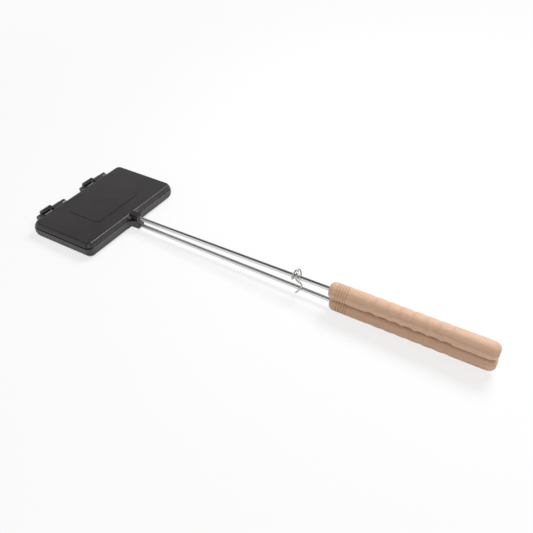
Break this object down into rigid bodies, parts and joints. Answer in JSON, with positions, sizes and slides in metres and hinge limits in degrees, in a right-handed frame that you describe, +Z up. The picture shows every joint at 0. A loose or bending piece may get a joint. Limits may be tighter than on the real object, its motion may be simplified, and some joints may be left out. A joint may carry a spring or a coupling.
{
  "type": "double pie iron",
  "caption": "Hinged rectangular cast-iron pan halves on long steel rods with turned wooden handles and a wire latch, for toasting filled bread over a fire.",
  "frame": {"origin": "centre of the overall length and width, at the underside of the lower handle", "axes": "+X from the pan towards the handles, +Y across the pan along the hinge axis, +Z up through the parting plane"},
  "size_m": [0.7074, 0.201, 0.0489],
  "materials": {
    "iron": "seasoned, satin",
    "steel": "bright plated",
    "wood": "light, lacquered"
  },
  "bodies": {
    "bottom_half": {"bottom_shell": "iron", "bottom_rod": "steel", "bottom_handle": "wood", "bottom_socket_pin": "steel"},
    "top_half": {"top_shell": "iron", "top_rod": "steel", "top_handle": "wood", "top_socket_pin": "steel"},
    "latch": {"wire_latch": "steel"}
  },
  "joints": [
    {"name": "head_hinge", "type": "hinge", "parent": "bottom_half", "child": "top_half", "pos_m": [-0.3459, 0, 0.02445], "axis": [0, -1, 0], "range_deg": [0, 170]},
    {"name": "latch_swing", "type": "hinge", "parent": "top_half", "child": "latch", "pos_m": [0.07614, -0.00229, 0.03596], "axis": [-0.9998, 0.0082, -0.0182], "range_deg": [-8, 110]}
  ]
}
